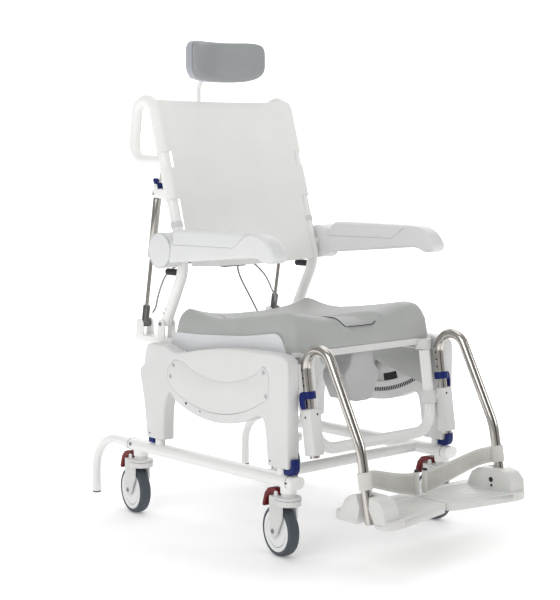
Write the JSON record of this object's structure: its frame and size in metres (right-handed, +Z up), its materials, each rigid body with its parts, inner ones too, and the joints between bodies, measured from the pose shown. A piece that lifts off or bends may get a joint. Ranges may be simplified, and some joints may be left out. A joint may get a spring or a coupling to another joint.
{
  "type": "reclining shower wheelchair",
  "caption": "Carer-pushed shower chair on braked casters with tilting seat, reclining sling back, flip-up arms, swing-away legrests and a sliding headrest.",
  "frame": {"origin": "centre of the footprint on the floor", "axes": "+Z up, the user faces -Y, +X to the user's left"},
  "size_m": [0.6006, 1.1029, 1.2465],
  "materials": {
    "white_paint": "gloss powder coat",
    "white_plastic": "satin moulded",
    "wheel": "grey tread bonded to a light plastic core",
    "red_plastic": "gloss",
    "blue_plastic": "gloss",
    "grey_plastic": "fine texture",
    "light_plastic": "fine texture",
    "seat_foam": "skinned foam, matt",
    "arm_foam": "skinned foam, matt",
    "head_foam": "skinned foam, matt",
    "black_rubber": "matt",
    "cable": "smooth jacket",
    "sling_cloth": "coated weave",
    "webbing": "open mesh webbing",
    "steel": "brushed"
  },
  "bodies": {
    "base": {"base_frame": "white_paint", "anti_tip_tube_right": "white_paint", "anti_tip_tube_left": "white_paint"},
    "chassis": {"side_shell_right": "white_plastic", "side_shell_left": "white_plastic", "tilt_cover_right": "white_plastic", "tilt_cover_left": "white_plastic"},
    "seat": {"seat_frame": "white_paint", "tilt_carrier_right": "grey_plastic", "tilt_carrier_left": "grey_plastic", "seat_base": "light_plastic", "seat_cushion": "seat_foam", "splash_guard": "grey_plastic", "front_frame_tube": "white_paint", "legrest_sleeve_right": "white_plastic", "legrest_sleeve_left": "white_plastic"},
    "seat_insert": {"seat_insert": "seat_foam"},
    "backrest": {"back_frame": "white_paint", "back_sling": "sling_cloth", "stop_buffer_right": "black_rubber", "stop_buffer_left": "black_rubber", "release_unit": "black_rubber", "recline_cable_right": "cable", "recline_cable_left": "cable", "tilt_cable": "cable"},
    "headrest": {"headrest_post": "white_paint", "headrest_pad": "head_foam"},
    "recline_lever": {"recline_lever": "blue_plastic"},
    "caster_front_right": {"caster_fork_front_right": "white_plastic"},
    "wheel_front_right": {"caster_wheel_front_right": "wheel"},
    "brake_front_right": {"brake_pedal_front_right": "red_plastic"},
    "caster_front_left": {"caster_fork_front_left": "white_plastic"},
    "wheel_front_left": {"caster_wheel_front_left": "wheel"},
    "brake_front_left": {"brake_pedal_front_left": "red_plastic"},
    "caster_rear_right": {"caster_fork_rear_right": "white_plastic"},
    "wheel_rear_right": {"caster_wheel_rear_right": "wheel"},
    "brake_rear_right": {"brake_pedal_rear_right": "red_plastic"},
    "caster_rear_left": {"caster_fork_rear_left": "white_plastic"},
    "wheel_rear_left": {"caster_wheel_rear_left": "wheel"},
    "brake_rear_left": {"brake_pedal_rear_left": "red_plastic"},
    "spring_rod_right": {"spring_rod_right": "steel"},
    "spring_cylinder_right": {"spring_cylinder_right": "white_paint"},
    "spring_rod_left": {"spring_rod_left": "steel"},
    "spring_cylinder_left": {"spring_cylinder_left": "white_paint"},
    "armrest_right": {"armrest_right": "light_plastic", "armrest_pad_right": "arm_foam"},
    "armrest_left": {"armrest_left": "light_plastic", "armrest_pad_left": "arm_foam"},
    "legrest_clip_right": {"legrest_clip_right": "blue_plastic"},
    "legrest_right": {"legrest_tube_right": "steel", "heel_strap_right": "webbing"},
    "footplate_right": {"footplate_right": "white_plastic"},
    "legrest_clip_left": {"legrest_clip_left": "blue_plastic"},
    "legrest_left": {"legrest_tube_left": "steel", "heel_strap_left": "webbing"},
    "footplate_left": {"footplate_left": "white_plastic"},
    "height_latch_front_right": {"height_latch_front_right": "blue_plastic"},
    "height_latch_front_left": {"height_latch_front_left": "blue_plastic"},
    "height_latch_rear_right": {"height_latch_rear_right": "blue_plastic"},
    "height_latch_rear_left": {"height_latch_rear_left": "blue_plastic"}
  },
  "joints": [
    {"name": "caster_swivel_front_right", "type": "hinge", "parent": "base", "child": "caster_front_right", "pos_m": [-0.2695, -0.247, 0.15], "axis": [0, 0, 1], "continuous": true},
    {"name": "wheel_spin_front_right", "type": "hinge", "parent": "caster_front_right", "child": "wheel_front_right", "pos_m": [-0.26418, -0.21342, 0.0625], "axis": [0.9877, -0.1564, 0], "continuous": true},
    {"name": "brake_press_front_right", "type": "hinge", "parent": "caster_front_right", "child": "brake_front_right", "pos_m": [-0.26481, -0.21737, 0.155], "axis": [-0.9877, 0.1564, 0], "range_deg": [0, 8]},
    {"name": "caster_swivel_front_left", "type": "hinge", "parent": "base", "child": "caster_front_left", "pos_m": [0.2695, -0.247, 0.15], "axis": [0, 0, 1], "continuous": true},
    {"name": "wheel_spin_front_left", "type": "hinge", "parent": "caster_front_left", "child": "wheel_front_left", "pos_m": [0.27482, -0.21342, 0.0625], "axis": [0.9877, -0.1564, 0], "continuous": true},
    {"name": "brake_press_front_left", "type": "hinge", "parent": "caster_front_left", "child": "brake_front_left", "pos_m": [0.27419, -0.21737, 0.155], "axis": [-0.9877, 0.1564, 0], "range_deg": [0, 8]},
    {"name": "caster_swivel_rear_right", "type": "hinge", "parent": "base", "child": "caster_rear_right", "pos_m": [-0.2695, 0.334, 0.15], "axis": [0, 0, 1], "continuous": true},
    {"name": "wheel_spin_rear_right", "type": "hinge", "parent": "caster_rear_right", "child": "wheel_rear_right", "pos_m": [-0.26418, 0.36758, 0.0625], "axis": [0.9877, -0.1564, 0], "continuous": true},
    {"name": "brake_press_rear_right", "type": "hinge", "parent": "caster_rear_right", "child": "brake_rear_right", "pos_m": [-0.26481, 0.36363, 0.155], "axis": [-0.9877, 0.1564, 0], "range_deg": [0, 8]},
    {"name": "caster_swivel_rear_left", "type": "hinge", "parent": "base", "child": "caster_rear_left", "pos_m": [0.2695, 0.334, 0.15], "axis": [0, 0, 1], "continuous": true},
    {"name": "wheel_spin_rear_left", "type": "hinge", "parent": "caster_rear_left", "child": "wheel_rear_left", "pos_m": [0.27482, 0.36758, 0.0625], "axis": [0.9877, -0.1564, 0], "continuous": true},
    {"name": "brake_press_rear_left", "type": "hinge", "parent": "caster_rear_left", "child": "brake_rear_left", "pos_m": [0.27419, 0.36363, 0.155], "axis": [-0.9877, 0.1564, 0], "range_deg": [0, 8]},
    {"name": "height_set", "type": "slide", "parent": "base", "child": "chassis", "axis": [0, 0, 1], "range_m": [0, 0.1]},
    {"name": "seat_tilt", "type": "hinge", "parent": "chassis", "child": "seat", "pos_m": [0, 0.008, 0.67], "axis": [-1, 0, 0], "range_deg": [0, 35]},
    {"name": "back_recline", "type": "hinge", "parent": "seat", "child": "backrest", "pos_m": [0, 0.275, 0.513], "axis": [-1, 0, 0], "range_deg": [0, 30], "deforming": ["recline_cable_right", "recline_cable_left", "tilt_cable"]},
    {"name": "spring_hinge_right", "type": "hinge", "parent": "seat", "child": "spring_rod_right", "pos_m": [-0.228, 0.367, 0.507], "axis": [-1, 0, 0], "range_deg": [0, 30.5]},
    {"name": "spring_slide_right", "type": "slide", "parent": "spring_rod_right", "child": "spring_cylinder_right", "axis": [0, -0.1718, 0.9851], "range_m": [-0.0485, 0]},
    {"name": "spring_hinge_left", "type": "hinge", "parent": "seat", "child": "spring_rod_left", "pos_m": [0.228, 0.367, 0.507], "axis": [-1, 0, 0], "range_deg": [0, 30.5]},
    {"name": "spring_slide_left", "type": "slide", "parent": "spring_rod_left", "child": "spring_cylinder_left", "axis": [0, -0.1718, 0.9851], "range_m": [-0.0485, 0]},
    {"name": "armrest_flip_right", "type": "hinge", "parent": "backrest", "child": "armrest_right", "pos_m": [-0.27, 0.21, 0.711], "axis": [-1, 0, 0], "range_deg": [0, 85]},
    {"name": "armrest_flip_left", "type": "hinge", "parent": "backrest", "child": "armrest_left", "pos_m": [0.27, 0.21, 0.711], "axis": [-1, 0, 0], "range_deg": [0, 85]},
    {"name": "headrest_height", "type": "slide", "parent": "backrest", "child": "headrest", "axis": [0, 0, 1], "range_m": [0, 0.06]},
    {"name": "recline_lever_pull", "type": "hinge", "parent": "backrest", "child": "recline_lever", "pos_m": [-0.228, 0.299, 0.872], "axis": [1, 0, 0], "range_deg": [0, 20], "stiffness_Nm_per_rad": 0.4, "springref_deg": -2.86},
    {"name": "legrest_swing_right", "type": "hinge", "parent": "seat", "child": "legrest_clip_right", "pos_m": [-0.2316, -0.2978, 0.2456], "axis": [0, -0.1551, -0.9879], "range_deg": [0, 75]},
    {"name": "legrest_length_right", "type": "slide", "parent": "legrest_clip_right", "child": "legrest_right", "axis": [0, -0.1551, -0.9879], "range_m": [0, 0.05]},
    {"name": "footplate_angle_right", "type": "hinge", "parent": "legrest_right", "child": "footplate_right", "pos_m": [-0.2316, -0.4745, 0.16], "axis": [-1, 0, 0], "range_deg": [0, 18]},
    {"name": "legrest_swing_left", "type": "hinge", "parent": "seat", "child": "legrest_clip_left", "pos_m": [0.2316, -0.2978, 0.2456], "axis": [0, 0.1551, 0.9879], "range_deg": [0, 75]},
    {"name": "legrest_length_left", "type": "slide", "parent": "legrest_clip_left", "child": "legrest_left", "axis": [0, -0.1551, -0.9879], "range_m": [0, 0.05]},
    {"name": "footplate_angle_left", "type": "hinge", "parent": "legrest_left", "child": "footplate_left", "pos_m": [0.2316, -0.4745, 0.16], "axis": [-1, 0, 0], "range_deg": [0, 18]},
    {"name": "seat_insert_lift", "type": "slide", "parent": "seat", "child": "seat_insert", "axis": [0, 0, 1], "range_m": [0, 0.06]},
    {"name": "height_latch_front_right_pull", "type": "slide", "parent": "chassis", "child": "height_latch_front_right", "axis": [0, -1, 0], "range_m": [0, 0.01], "stiffness_N_per_m": 200, "springref_m": -0.002},
    {"name": "height_latch_front_left_pull", "type": "slide", "parent": "chassis", "child": "height_latch_front_left", "axis": [0, -1, 0], "range_m": [0, 0.01], "stiffness_N_per_m": 200, "springref_m": -0.002},
    {"name": "height_latch_rear_right_pull", "type": "slide", "parent": "chassis", "child": "height_latch_rear_right", "axis": [0, 1, 0], "range_m": [0, 0.01], "stiffness_N_per_m": 200, "springref_m": -0.002},
    {"name": "height_latch_rear_left_pull", "type": "slide", "parent": "chassis", "child": "height_latch_rear_left", "axis": [0, 1, 0], "range_m": [0, 0.01], "stiffness_N_per_m": 200, "springref_m": -0.002}
  ],
  "couplings": [
    {"joint": "spring_hinge_right", "follows": "back_recline", "ratio": 1.0073},
    {"joint": "spring_slide_right", "follows": "back_recline", "m_per_rad": -0.0911},
    {"joint": "spring_hinge_left", "follows": "back_recline", "ratio": 1.0073},
    {"joint": "spring_slide_left", "follows": "back_recline", "m_per_rad": -0.0911}
  ]
}
